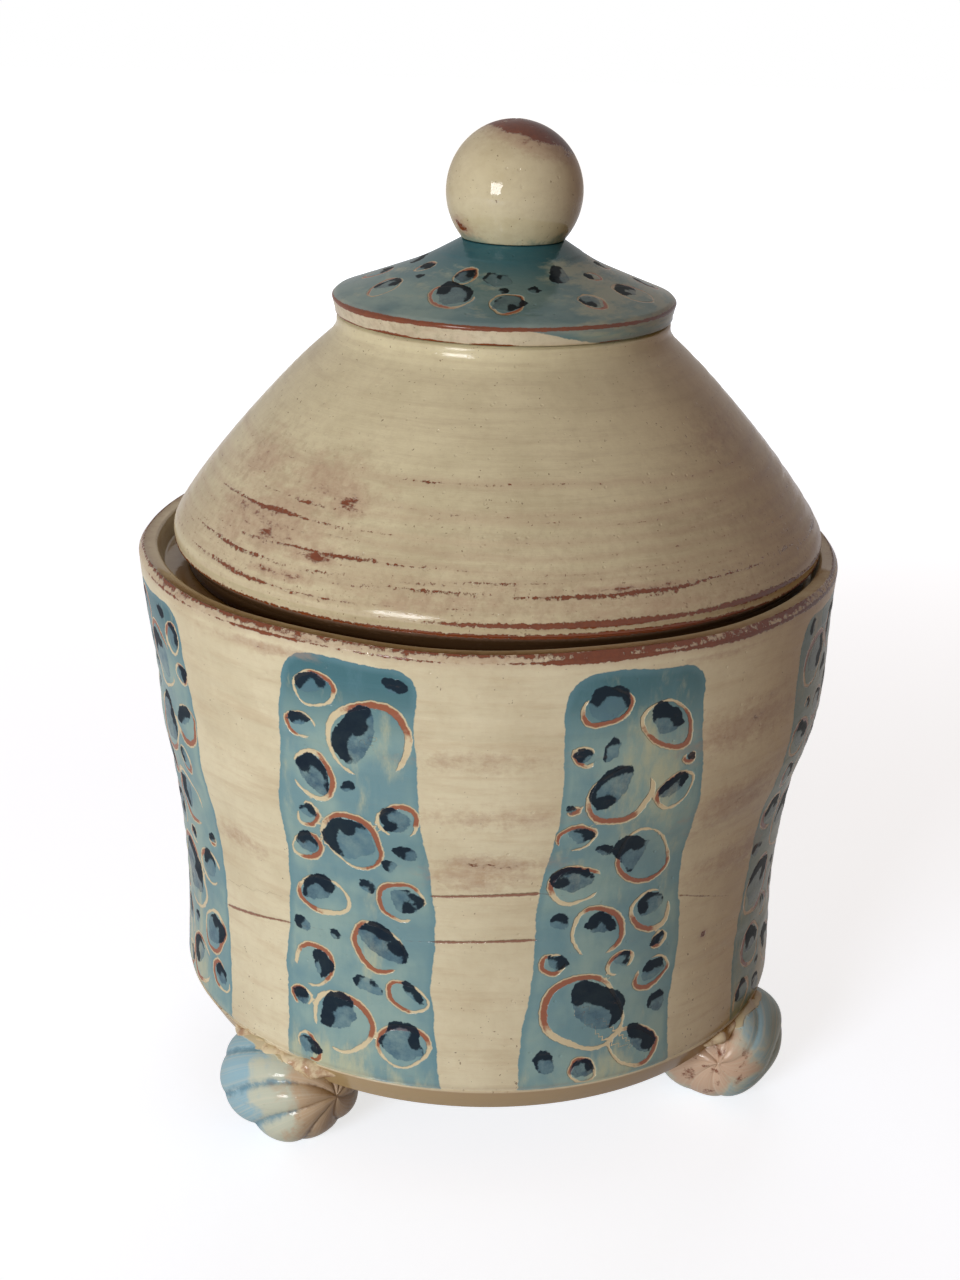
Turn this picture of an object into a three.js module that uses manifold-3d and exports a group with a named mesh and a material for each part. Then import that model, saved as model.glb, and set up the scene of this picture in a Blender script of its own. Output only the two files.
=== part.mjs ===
import * as THREE from 'three';
import { mergeVertices } from 'three/addons/utils/BufferGeometryUtils.js';
import Module from 'manifold-3d';

// A wheel-thrown jar on three ribbed feet, with a domed lid, a flared cap and a ball knob.
// Millimetres and degrees. Z runs up from the surface that the feet stand on, -Y is the front.

// Jar wall, from the worn rim down to the bevelled base
const rimRadius = 100;
const rimRoll = 2;
const rimBevel = 1.5;
const lipThickness = 4.5;
const lipFall = 1.6;
const wallHeight = 128;
const wallThickness = 6.5;
const shoulderRadius = 96.3;
const shoulderHeight = 84;
const flareRadius = 92.1;
const flareHeight = 64;
const waistRadius = 89;
const waistHeight = 34;
const wallFootRadius = 89.2;
const bevelWidth = 5.2;
const bevelHeight = 8.6;
const floorThickness = 8;
const floorFillet = 7;

// Gallery, the shelf inside the rim that carries the lid
const galleryDepth = 6;
const galleryTaper = 2.5;
const ledgeWidth = 9.5;
const ledgeThickness = 5;
const ledgeBlend = 9;

// Lid
const seatGap = 0.3;
const seatSlack = 4.2;
const seatRingWidth = 5;
const lidEdgeClearance = 3.1;
const lidEdgeRise = 1.2;
const lidBandHeight = 2.8;
const lidBandSetback = 0.7;
const lidShift = 2.5;
const lidThickness = 6.5;
const domeLowRadius = 84.3;
const domeLowHeight = 17;
const domeMidRadius = 72.3;
const domeMidHeight = 32;
const domeHighRadius = 58.6;
const domeHighHeight = 47;
const collarRadius = 48;
const collarWaistRadius = 46.4;
const collarHeight = 57;
const collarRise = 5;
const crownThickness = 7;

// Flared cap on the lid, and the ball knob
const creviceInset = 1.2;
const creviceHeight = 0.7;
const capRadius = 47.9;
const capEdgeHeight = 4.6;
const capEdgeUndercut = 1.2;
const capShoulderRadius = 34;
const capShoulderHeight = 6;
const capSlopeRadius = 24.3;
const capSlopeHeight = 10;
const neckRadius = 14.3;
const neckHeight = 15.7;
const knobRadius = 18.9;
const knobHalfHeight = 19.2;
const knobShift = 2;

// Feet, fat buns of twisted ribs pressed on under the bevel
const footStand = 20.9;
const footAngles = [-41, 65, 192];
const footInset = 3.5;
const footLength = 40;
const footDepth = 36;
const footHeight = 31;
const footWear = 1;
const footRibs = 8;
const creaseDepth = 2.6;
const footTwist = 40;
const footTilt = 10;

// Facet counts
const bodySegments = 64;
const capSegments = 48;
const knobSegments = 40;
const footRows = 12;
const samplesPerRib = 5;

// Heights that follow from the sizes above
const baseLevel = footStand;
const wallFootLevel = baseLevel + bevelHeight;
const rimLevel = wallFootLevel + wallHeight;
const crestLevel = rimLevel + rimRoll;
const ledgeLevel = crestLevel - galleryDepth;
const floorLevel = baseLevel + floorThickness;
const lidEdgeLevel = crestLevel + lidEdgeRise;
const collarLevel = lidEdgeLevel + collarHeight;
const crownLevel = collarLevel + collarRise;
const capLevel = crownLevel + creviceHeight + seatGap;
const neckLevel = capLevel + capEdgeHeight + neckHeight;

// Radii that follow from the sizes above
const lipInnerRadius = rimRadius - lipThickness;
const galleryRadius = lipInnerRadius - galleryTaper;
const throatRadius = galleryRadius - ledgeWidth;
const baseRadius = wallFootRadius - bevelWidth;
const footCentreRadius = baseRadius - footInset;
const ringOuterRadius = galleryRadius - seatSlack;
const ringInnerRadius = ringOuterRadius - seatRingWidth;
const lidEdgeRadius = lipInnerRadius - lidEdgeClearance;

const clayCream = new THREE.MeshStandardMaterial({ color: 0xd9cba9, roughness: 0.3, metalness: 0 });
const glazeTeal = new THREE.MeshStandardMaterial({ color: 0x5f9298, roughness: 0.22, metalness: 0 });
const glazeSky = new THREE.MeshStandardMaterial({ color: 0x8fb4c4, roughness: 0.25, metalness: 0 });

const point = (radius, height) => new THREE.Vector2(radius, height);

// A smooth stretch of outline through a few stations, in order
function smooth(stations, steps) {
  return new THREE.SplineCurve(stations).getPoints(steps);
}

// A quarter round from one point to another, bulging towards the corner
function rounded(start, corner, end, steps) {
  return new THREE.QuadraticBezierCurve(start, corner, end).getPoints(steps);
}

// Moves an outline sideways by a distance, to the right of its own direction
function offset(outline, distance) {
  return outline.map((here, index) => {
    const before = outline[Math.max(index - 1, 0)];
    const after = outline[Math.min(index + 1, outline.length - 1)];
    const along = after.clone().sub(before).normalize();
    return point(here.x + along.y * distance, here.y - along.x * distance);
  });
}

// Turns an outline about the Z axis; the outline goes anticlockwise in radius and height
function turned(outline, segments) {
  const geometry = new THREE.LatheGeometry(outline, segments);
  geometry.rotateX(Math.PI / 2);
  geometry.deleteAttribute('normal');
  geometry.deleteAttribute('uv');
  const welded = mergeVertices(geometry, 1e-4);
  return dropSlivers(welded);
}

// Leaves out the triangles that lost their area when the points on the axis were joined
function dropSlivers(geometry) {
  const kept = [];
  const index = geometry.index.array;
  for (let i = 0; i < index.length; i += 3) {
    const [a, b, c] = [index[i], index[i + 1], index[i + 2]];
    if (a !== b && b !== c && c !== a) kept.push(a, b, c);
  }
  geometry.setIndex(kept);
  return geometry;
}

const wasm = await Module();
wasm.setup();

function toSolid(geometry) {
  const vertProperties = new Float32Array(geometry.attributes.position.array);
  const triVerts = new Uint32Array(geometry.index.array);
  return new wasm.Manifold(new wasm.Mesh({ numProp: 3, vertProperties, triVerts }));
}

function toGeometry(solid) {
  const mesh = solid.getMesh();
  const geometry = new THREE.BufferGeometry();
  geometry.setAttribute('position', new THREE.BufferAttribute(mesh.vertProperties, 3));
  geometry.setIndex(new THREE.BufferAttribute(mesh.triVerts, 1));
  return geometry;
}

// The jar's outside, from the base's edge up to the rim's outer line
function wallOutline() {
  const wall = smooth([
    point(wallFootRadius, wallFootLevel),
    point(waistRadius, wallFootLevel + waistHeight),
    point(flareRadius, wallFootLevel + flareHeight),
    point(shoulderRadius, wallFootLevel + shoulderHeight),
    point(rimRadius, rimLevel),
  ], 12);
  return [point(baseRadius, baseLevel), ...wall];
}

// The jar's inside, from the ledge's underside down to the floor's fillet
function insideOutline() {
  const top = ledgeLevel - ledgeThickness - ledgeBlend;
  const bottom = floorLevel + floorFillet;
  const inner = offset(wallOutline().slice(1), -wallThickness);
  return inner.filter((here) => here.y > bottom && here.y < top).reverse();
}

function jarBody() {
  const outside = wallOutline();
  const inside = insideOutline();
  const floorEdge = inside[inside.length - 1].x;
  const fillet = rounded(
    point(floorEdge, floorLevel + floorFillet),
    point(floorEdge, floorLevel),
    point(floorEdge - floorFillet, floorLevel),
    3,
  );
  const outline = [
    point(0, baseLevel),
    ...outside,
    point(rimRadius - rimBevel, crestLevel),
    point(lipInnerRadius, crestLevel - lipFall),
    point(galleryRadius, ledgeLevel + seatGap),
    point(galleryRadius - seatGap, ledgeLevel),
    point(throatRadius, ledgeLevel),
    point(throatRadius, ledgeLevel - ledgeThickness),
    ...inside,
    ...fillet,
    point(0, floorLevel),
  ];
  return turned(outline, bodySegments);
}

// The dome from its edge band up to the collar under the cap
function domeOutline() {
  return smooth([
    point(lidEdgeRadius, lidEdgeLevel + lidBandHeight),
    point(domeLowRadius, lidEdgeLevel + domeLowHeight),
    point(domeMidRadius, lidEdgeLevel + domeMidHeight),
    point(domeHighRadius, lidEdgeLevel + domeHighHeight),
    point(collarRadius, collarLevel),
  ], 11);
}

function lidDome() {
  const ringFoot = ledgeLevel + seatGap;
  const outside = domeOutline();
  const hollowTop = crownLevel - crownThickness;
  const inside = offset(outside, -lidThickness)
    .filter((here) => here.x < ringInnerRadius && here.y < hollowTop && here.y > lidEdgeLevel)
    .reverse();
  const innermost = inside[0].x;
  const outline = [
    point(ringInnerRadius, ringFoot),
    point(ringOuterRadius, ringFoot),
    point(ringOuterRadius, crestLevel - rimRoll),
    point(lidEdgeRadius - lidBandSetback, lidEdgeLevel),
    ...outside,
    point(collarWaistRadius, collarLevel + collarRise / 2),
    point(collarWaistRadius, crownLevel),
    point(collarWaistRadius - creviceInset, crownLevel + creviceHeight),
    point(0, crownLevel + creviceHeight),
    point(0, hollowTop),
    point(innermost * 0.7, hollowTop),
    ...inside,
  ];
  return turned([...outline, outline[0]], bodySegments);
}

// The cap leans a little with its height, so that its neck meets the knob, which is set off centre
function lean(geometry, fromLevel, toLevel, shift) {
  const position = geometry.attributes.position;
  for (let i = 0; i < position.count; i += 1) {
    const share = THREE.MathUtils.clamp((position.getZ(i) - fromLevel) / (toLevel - fromLevel), 0, 1);
    position.setX(i, position.getX(i) + shift * share);
  }
  return geometry;
}

function lidCap() {
  const edgeLevel = capLevel + capEdgeHeight;
  const slope = smooth([
    point(capRadius - capEdgeUndercut, edgeLevel + capEdgeUndercut),
    point(capShoulderRadius, edgeLevel + capShoulderHeight),
    point(capSlopeRadius, edgeLevel + capSlopeHeight),
    point(neckRadius, neckLevel),
  ], 9);
  const outline = [
    point(0, capLevel),
    point(capRadius - capEdgeUndercut, capLevel),
    point(capRadius, edgeLevel),
    ...slope,
    point(0, neckLevel),
  ];
  return lean(turned(outline, capSegments), edgeLevel, neckLevel, knobShift);
}

// The knob is a ball cut flat where it sits on the neck
function lidKnob() {
  const cutAngle = Math.asin(neckRadius / knobRadius);
  const centreLevel = neckLevel + seatGap + knobHalfHeight * Math.cos(cutAngle);
  const steps = 13;
  const outline = [point(0, neckLevel + seatGap)];
  for (let i = 0; i <= steps; i += 1) {
    const turn = Math.PI - cutAngle - (i / steps) * (Math.PI - cutAngle);
    const radius = i === steps ? 0 : knobRadius * Math.sin(turn);
    outline.push(point(radius, centreLevel + knobHalfHeight * Math.cos(turn)));
  }
  return turned(outline, knobSegments).translate(knobShift, 0, 0);
}

// One bun: rings of points round an axis that lies along the jar's edge. Each rib swells as
// |sin|^0.7 between two creases, and the creases turn about the axis from one end to the other.
function footBun() {
  const columns = footRibs * samplesPerRib;
  const positions = [-footLength / 2, 0, 0];
  for (let row = 1; row < footRows; row += 1) {
    const along = row / footRows;
    const girth = Math.sin(Math.PI * along) ** 0.75;
    for (let column = 0; column < columns; column += 1) {
      const swell = Math.abs(Math.sin((Math.PI * column) / samplesPerRib)) ** 0.7;
      const crease = creaseDepth * (1 - swell) * girth;
      const turn = (2 * Math.PI * (column + samplesPerRib / 2)) / columns
        + THREE.MathUtils.degToRad(footTwist) * (along - 0.5);
      positions.push(
        -(footLength / 2) * Math.cos(Math.PI * along),
        (footDepth / 2) * girth * Math.cos(turn) - crease * Math.cos(turn),
        (footHeight / 2) * girth * Math.sin(turn) - crease * Math.sin(turn),
      );
    }
  }
  positions.push(footLength / 2, 0, 0);
  const last = positions.length / 3 - 1;
  const at = (row, column) => 1 + (row - 1) * columns + (column % columns);
  const index = [];
  for (let column = 0; column < columns; column += 1) {
    index.push(0, at(1, column + 1), at(1, column));
    index.push(last, at(footRows - 1, column), at(footRows - 1, column + 1));
    for (let row = 1; row < footRows - 1; row += 1) {
      index.push(at(row, column), at(row, column + 1), at(row + 1, column));
      index.push(at(row, column + 1), at(row + 1, column + 1), at(row + 1, column));
    }
  }
  const geometry = new THREE.BufferGeometry();
  geometry.setAttribute('position', new THREE.Float32BufferAttribute(positions, 3));
  geometry.setIndex(index);
  return geometry;
}

// What the jar's underside takes out of a foot: its own outline, grown by the seat gap
function jarFootprint() {
  const grown = offset([point(0, baseLevel), ...wallOutline()], seatGap).slice(1, 7);
  const outline = [
    point(0, baseLevel - seatGap),
    point(baseRadius, baseLevel - seatGap),
    ...grown.slice(1),
    point(0, grown[grown.length - 1].y),
  ];
  return toSolid(turned(outline, bodySegments));
}

// A foot is the bun, less the jar above it and a flat worn where it stands
function foot(angle, footprint) {
  const bun = footBun();
  bun.rotateY(THREE.MathUtils.degToRad(footTilt));
  bun.computeBoundingBox();
  bun.translate(0, -footCentreRadius, -footWear - bun.boundingBox.min.z);
  bun.rotateZ(THREE.MathUtils.degToRad(angle));
  const ground = new THREE.BoxGeometry(4 * rimRadius, 4 * rimRadius, footHeight);
  ground.translate(0, 0, -footHeight / 2);
  ground.deleteAttribute('normal');
  ground.deleteAttribute('uv');
  const worn = toSolid(bun).subtract(toSolid(mergeVertices(ground)));
  return toGeometry(worn.subtract(footprint));
}

const jar = new THREE.Group();

function add(parent, name, geometry, material) {
  geometry.computeVertexNormals();
  const mesh = new THREE.Mesh(geometry, material);
  mesh.name = name;
  parent.add(mesh);
}

add(jar, 'jar_body', jarBody(), clayCream);
const footprint = jarFootprint();
const footNames = ['foot_front_left', 'foot_right', 'foot_back'];
footAngles.forEach((angle, i) => add(jar, footNames[i], foot(angle, footprint), glazeSky));

// The lid rests a little to one side of its seat, as it was set down
const lid = new THREE.Group();
lid.position.x = lidShift;
add(lid, 'lid_dome', lidDome(), clayCream);
add(lid, 'lid_cap', lidCap(), glazeTeal);
add(lid, 'lid_knob', lidKnob(), clayCream);
jar.add(lid);

export default jar;
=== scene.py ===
import math

import bpy
import numpy as np
from mathutils import Matrix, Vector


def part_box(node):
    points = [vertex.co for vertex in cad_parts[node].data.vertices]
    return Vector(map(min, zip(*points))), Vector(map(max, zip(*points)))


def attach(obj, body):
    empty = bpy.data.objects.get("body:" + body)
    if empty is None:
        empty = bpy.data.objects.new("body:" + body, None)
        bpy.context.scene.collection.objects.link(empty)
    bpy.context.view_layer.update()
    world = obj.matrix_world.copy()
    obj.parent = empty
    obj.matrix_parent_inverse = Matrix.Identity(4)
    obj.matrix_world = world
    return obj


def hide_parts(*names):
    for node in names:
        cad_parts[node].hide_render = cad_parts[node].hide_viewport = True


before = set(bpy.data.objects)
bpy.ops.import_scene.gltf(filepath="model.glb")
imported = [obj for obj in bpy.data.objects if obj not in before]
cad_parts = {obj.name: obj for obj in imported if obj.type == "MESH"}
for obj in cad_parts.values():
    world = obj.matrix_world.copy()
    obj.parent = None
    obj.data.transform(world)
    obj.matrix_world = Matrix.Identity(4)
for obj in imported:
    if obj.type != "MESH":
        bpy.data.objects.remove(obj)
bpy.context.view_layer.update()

# A wheel-thrown earthenware jar: red clay, cream slip, blue bands with scratched rings and brushed
# dabs, a glossy clear glaze, three twisted clay feet and a domed lid with a cap and a ball knob.
# Outlines are worked out in millimetres and turned to metres when a mesh is made.

metre = 1000.0
fullTurn = 2 * np.pi
wellOutside = -4.0      # a depth in mm that is clear of every painted or worn edge
farAcross = 8.0         # a place in mm that is clear of every scratched line


# Small tools for surfaces

# A Catmull-Rom line through the stations with its ends doubled, which is how the solids' outlines run
def throughStations(stations, perSpan=24):
    stations = np.asarray(stations, float)
    padded = np.vstack([stations[:1], stations, stations[-1:]])
    t = np.linspace(0, 1, perSpan, endpoint=False)[:, None]
    spans = []
    for a, b, c, d in zip(padded[:-3], padded[1:-2], padded[2:-1], padded[3:]):
        spans.append(0.5 * (2 * b + (c - a) * t + (2 * a - 5 * b + 4 * c - d) * t**2
                            + (3 * b - a - 3 * c + d) * t**3))
    return np.vstack([*spans, stations[-1:]])


# Points (radius, height, bend): each bend becomes a small parabola that starts and ends that far
# from the corner, and stretches longer than the spacing are divided evenly
def outline(corners, spacing):
    corners = [tuple(c) if len(c) == 3 else (c[0], c[1], 0.0) for c in corners]
    points = []
    for k, (radius, height, bend) in enumerate(corners):
        here = np.array([radius, height])
        if bend == 0:
            points.append(here)
            continue
        before = np.array(corners[k - 1][:2]) - here
        after = np.array(corners[(k + 1) % len(corners)][:2]) - here
        start = here + before / np.hypot(*before) * min(bend, np.hypot(*before) / 2)
        end = here + after / np.hypot(*after) * min(bend, np.hypot(*after) / 2)
        for t in np.linspace(0, 1, 5):
            points.append((1 - t) ** 2 * start + 2 * t * (1 - t) * here + t**2 * end)
    filled = [points[0]]
    for a, b in zip(points[:-1], points[1:]):
        count = max(int(np.ceil(np.hypot(*(b - a)) / spacing)), 1)
        filled.extend(a + (b - a) * n / count for n in range(1, count + 1))
    return np.array(filled)


# The same line with its points as far apart as the spacing, measured along it
def evenly(points, spacing):
    travelled = np.concatenate([[0], np.cumsum(np.hypot(*np.diff(points, axis=0).T))])
    stops = np.linspace(0, travelled[-1], int(round(travelled[-1] / spacing)) + 1)
    return np.column_stack([np.interp(stops, travelled, points[:, k]) for k in (0, 1)])


# The inner face of a wall, from the line of its outer face
def innerFace(line, thickness):
    along = np.gradient(line, axis=0)
    along /= np.hypot(*along.T)[:, None]
    return np.column_stack([line[:, 0] - along[:, 1] * thickness, line[:, 1] + along[:, 0] * thickness])


# A wandering value between about -1 and 1: a sum of cosines with whole numbers of turns round the
# axis, so that it closes, and with waves along the height no shorter than the given length
def wander(azimuth, height, seed, turns=5, wave=60.0, count=7):
    rng = np.random.default_rng(seed)
    value = 0.0
    for _ in range(count):
        around = rng.integers(1, turns + 1)
        rise = rng.uniform(-1, 1) * fullTurn / wave
        value = value + np.cos(around * azimuth + rise * height + rng.uniform(0, fullTurn))
    return value / math.sqrt(2 * count)


def soften(low, high, value):
    t = np.clip((value - low) / (high - low), 0, 1)
    return t * t * (3 - 2 * t)


def hump(distance, width):
    return np.exp(-((distance / width) ** 2))


def turnsApart(azimuth, centre):
    return (azimuth - centre + np.pi) % fullTurn - np.pi


def humpRound(azimuth, where, spread):  # where and spread in degrees
    return hump(turnsApart(azimuth, math.radians(where)), math.radians(spread))


def allRound(columns):
    return np.linspace(0, fullTurn, columns, endpoint=False)[None, :]


# The rings that fingers leave, coarse ones that climb a turn at a time and fine ones that climb two.
# Sizes and waves are for the coarse and the fine, in mm.
def throwingRings(azimuth, height, sizes, waves, fineShare, seed):
    climb = azimuth / fullTurn
    coarse = np.sin(fullTurn * (height / sizes[0] + climb)) * wander(azimuth, height, seed, 2, waves[0])
    fine = np.sin(fullTurn * (height / sizes[1] + 2 * climb)) * wander(azimuth, height, seed + 1, 3, waves[1])
    return coarse + fineShare * fine


# Rings of points, rows by columns by xyz in mm, closed by a point at each end. The faces look out
# where the rows keep the clay on their left.
def ringMesh(name, rings, firstEnd, lastEnd, fields):
    rows, columns = rings.shape[:2]
    points = np.concatenate([rings.reshape(-1, 3), [firstEnd, lastEnd]]) / metre
    here = np.arange(rows * columns).reshape(rows, columns)
    right = np.roll(here, -1, axis=1)
    quads = np.stack([here[:-1], right[:-1], right[1:], here[1:]], -1).reshape(-1, 4)
    ends = np.full(columns, rows * columns)
    fans = np.concatenate([np.stack([ends, right[0], here[0]], -1),
                           np.stack([here[-1], right[-1], ends + 1], -1)])
    mesh = bpy.data.meshes.new(name)
    mesh.from_pydata(points.tolist(), [], quads.tolist() + fans.tolist())
    mesh.polygons.foreach_set("use_smooth", np.ones(len(mesh.polygons), bool))
    for field, values in fields.items():
        flat = np.broadcast_to(values, (rows, columns)).reshape(-1)
        flat = np.concatenate([flat, [flat[:columns].mean(), flat[-columns:].mean()]])
        layer = mesh.attributes.new(field, "FLOAT", "POINT")
        layer.data.foreach_set("value", flat.astype(np.float32))
    mesh.update()
    piece = bpy.data.objects.new(name, mesh)
    bpy.context.scene.collection.objects.link(piece)
    return piece


# A line of radii and heights carried round the axis: azimuth 0 faces -Y and grows towards +X
def carriedRound(radius, height, azimuth, shift=0.0):
    return np.stack([radius * np.sin(azimuth) + shift, -radius * np.cos(azimuth),
                     height + 0 * azimuth], -1)


# Small tools for materials

# An sRGB colour written as #rrggbb, as the linear colour that shaders take
def linearColour(code):
    channels = [int(code[i:i + 2], 16) / 255 for i in (1, 3, 5)]
    return [c / 12.92 if c <= 0.04045 else ((c + 0.055) / 1.055) ** 2.4 for c in channels] + [1.0]


# The scale of a texture whose features are about that many millimetres across
def perSize(millimetres):
    return metre / millimetres


def addNode(tree, kind, links=None, **settings):
    node = tree.nodes.new("ShaderNode" + kind)
    for key, value in settings.items():
        setattr(node, key, value)
    for key, value in (links or {}).items():
        if isinstance(value, bpy.types.Node):
            value = next(out for out in value.outputs if out.enabled)
        if isinstance(value, bpy.types.NodeSocket):
            tree.links.new(value, node.inputs[key])
        else:
            node.inputs[key].default_value = linearColour(value) if isinstance(value, str) else value
    return node


def field(tree, name):  # one of a piece's own values, in mm unless its name says otherwise
    return addNode(tree, "Attribute", attribute_name=name).outputs["Fac"]


def noise(tree, place, size, detail, roughness, **more):
    shape = {"Vector": place, "Scale": perSize(size), "Detail": detail, "Roughness": roughness, **more}
    return addNode(tree, "TexNoise", shape)


def squashed(tree, place, scale):
    return addNode(tree, "Mapping", {"Vector": place, "Scale": scale})


def maths(tree, operation, *values):
    return addNode(tree, "Math", dict(enumerate(values)), operation=operation)


# From bottom to top while the value goes from low to high, smoothly or in a straight line
def eased(tree, value, low, high, top=1.0, bottom=0.0, kind="SMOOTHSTEP"):
    ends = {"From Min": low, "From Max": high, "To Min": bottom, "To Max": top}
    return addNode(tree, "MapRange", {"Value": value, **ends}, interpolation_type=kind)


def straight(tree, value, low, high, top, bottom):
    return eased(tree, value, low, high, top, bottom, "LINEAR")


def blend(tree, share, first, second):
    return addNode(tree, "Mix", {0: share, 6: first, 7: second}, data_type="RGBA")


def newMaterial(name):
    material = bpy.data.materials.new(name)
    material.use_nodes = True
    material.node_tree.nodes.clear()
    return material, material.node_tree


# Painted slip

clay = {
    "creamPink": "#ab8c77",    # slip worn almost through, the red clay showing as a blush
    "red": "#57260d",          # bare red clay under glaze, and its lighter tone
    "redLight": "#8e4a22",
    "scratched": "#9c5631",    # the same where a ring was scratched fresh
    "speck": "#6a5440",
}


# Cream slip over red clay: broad mottling, fine level streaks left by the turning wheel, and iron
# specks. Returns its colour, a streak height for the bump, and the place on the piece.
def slipGround(tree, look):
    place = addNode(tree, "TexCoord").outputs["Object"]
    mottle = noise(tree, place, 26, 4, 0.6)
    streak = noise(tree, squashed(tree, place, (1, 1, look["streakSquash"])), 34, 6, 0.68)
    grain = noise(tree, place, 1.1, 2, 0.6)
    cloud = noise(tree, place, 2.4, 4, 0.7)
    base = blend(tree, eased(tree, mottle, 0.36, 0.68), look["light"], look["deep"])
    lined = blend(tree, eased(tree, streak, 0.45, 0.72, look["streakShow"]), base, look["streak"])
    grainShow = maths(tree, "ADD", field(tree, "rubShare"), look["grainShow"])
    grained = blend(tree, eased(tree, cloud, 0.42, 0.7, grainShow), lined, look["streak"])
    denser = maths(tree, "MULTIPLY_ADD", field(tree, "speckShare"), 0.13, grain)
    return blend(tree, eased(tree, denser, 0.72, 0.79, 0.75), grained, clay["speck"]), streak, place


# Slip worn to the red clay: along lines by their depth in mm, and in rubbed places by a share. The
# edges are ragged, and the thin slip beside them blushes. Returns the colour and where it is bare.
def wornThrough(tree, colour, place, raggedSize=1.7, raggedDepth=0.55, blush=0.6):
    ragged = noise(tree, place, raggedSize, 5, 0.7)
    patches = noise(tree, squashed(tree, place, (0.7, 0.7, 1.5)), 4.2, 7, 0.72)
    swing = straight(tree, ragged, 0.2, 0.8, raggedDepth, -raggedDepth)
    worn = maths(tree, "ADD", field(tree, "wear"), swing)
    rubbed = maths(tree, "ADD", field(tree, "rubShare"), patches)
    bare = maths(tree, "MAXIMUM", eased(tree, worn, -0.1, 0.14), eased(tree, rubbed, 1.02, 1.14))
    beside = maths(tree, "MAXIMUM", eased(tree, worn, -1.9, 0.1, 0.5), eased(tree, rubbed, 0.58, 1.05, 0.95))
    pink = blend(tree, maths(tree, "MULTIPLY", beside, blush), colour, clay["creamPink"])
    return blend(tree, bare, pink, blend(tree, ragged, clay["red"], clay["redLight"])), bare


# Brushed blue slip: mixed tones, brush lines, pale places where it ran thin, teal where it was laid
# on twice, and a darker line where it pooled along its edge
def blueSlip(tree, place, look):
    brushed = squashed(tree, place, look["brushSquash"])
    patch = noise(tree, place, 17, 3, 0.55)
    bristle = noise(tree, brushed, 9, 6, 0.7)
    thin = noise(tree, brushed, 13, 6, 0.65)
    body = blend(tree, eased(tree, patch, 0.35, 0.65), look["blue"], look["blueLight"])
    height = addNode(tree, "SeparateXYZ", {0: place}).outputs["Z"]
    climbed = maths(tree, "MULTIPLY_ADD", patch, 8.0 / metre, height)
    upper = eased(tree, climbed, look["tealFrom"] / metre, look["tealTo"] / metre)
    teal = blend(tree, upper, body, look["teal"])
    combed = blend(tree, eased(tree, bristle, 0.45, 0.75, 0.5), teal, look["combed"])
    thinned = maths(tree, "MULTIPLY_ADD", field(tree, "thinShare"), 0.16, thin)
    pale = blend(tree, eased(tree, thinned, 0.54, 0.74, look["thinShow"]), combed, look["thin"])
    pooled = maths(tree, "MULTIPLY", eased(tree, field(tree, "band"), 2.4, 0.3, 1.1), patch)
    return blend(tree, pooled, pale, look["combed"])


# How deep a point lies in a line, in mm, from its place across the line and the line's half width.
# Both vary smoothly over the mesh, so a line finer than the mesh still comes out whole.
def depthInLine(tree, across, half):
    return maths(tree, "SUBTRACT", half, maths(tree, "ABSOLUTE", across))


# Bands, rings and dabs, each from its depth in mm inside the painted edge, with a hand's
# unsteadiness. Returns the colour and the masks of rings, dabs and the dark strokes on dabs.
def paintedOver(tree, ground, place, look):
    shake = straight(tree, noise(tree, place, 1.9, 3, 0.6), 0.25, 0.75, 0.26, -0.26)
    bandEdge = maths(tree, "ADD", field(tree, "band"), shake)
    banded = blend(tree, eased(tree, bandEdge, -0.16, 0.16), ground, blueSlip(tree, place, look))

    # The rust lies a little towards the ring's inside, and only on part of the way round
    across, half = field(tree, "ring"), field(tree, "ringHalf")
    inRing = eased(tree, maths(tree, "ADD", depthInLine(tree, across, half), shake), -0.15, 0.15)
    inward = maths(tree, "MULTIPLY_ADD", half, 0.3, across)
    rustTurn = maths(tree, "MULTIPLY", half, field(tree, "rust"))
    rustDepth = maths(tree, "MINIMUM", depthInLine(tree, inward, half), rustTurn)
    inRust = eased(tree, maths(tree, "ADD", rustDepth, shake), -0.1, 0.37)
    cut = blend(tree, inRust, look["cut"], clay["scratched"])
    ringed = blend(tree, maths(tree, "MULTIPLY", inRing, 0.93), banded, cut)

    wash = noise(tree, place, 4.4, 5, 0.68)
    inDab = eased(tree, maths(tree, "MULTIPLY_ADD", shake, 2.0, field(tree, "dab")), -0.15, 0.2)
    dabShow = maths(tree, "MULTIPLY", inDab, straight(tree, wash, 0.36, 0.64, 0.95, 0.45))
    dabTone = blend(tree, field(tree, "toneShare"), look["dabPale"], look["dab"])
    dabbed = blend(tree, dabShow, ringed, dabTone)
    washed = maths(tree, "MULTIPLY_ADD", wash, 3.2, field(tree, "dark"))
    inDark = eased(tree, maths(tree, "SUBTRACT", washed, 1.6), -0.3, 0.35, 0.92)
    onDab = maths(tree, "MULTIPLY", inDark, inDab)
    return blend(tree, onDab, dabbed, look["dark"]), inRing, inDab, onDab


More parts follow.
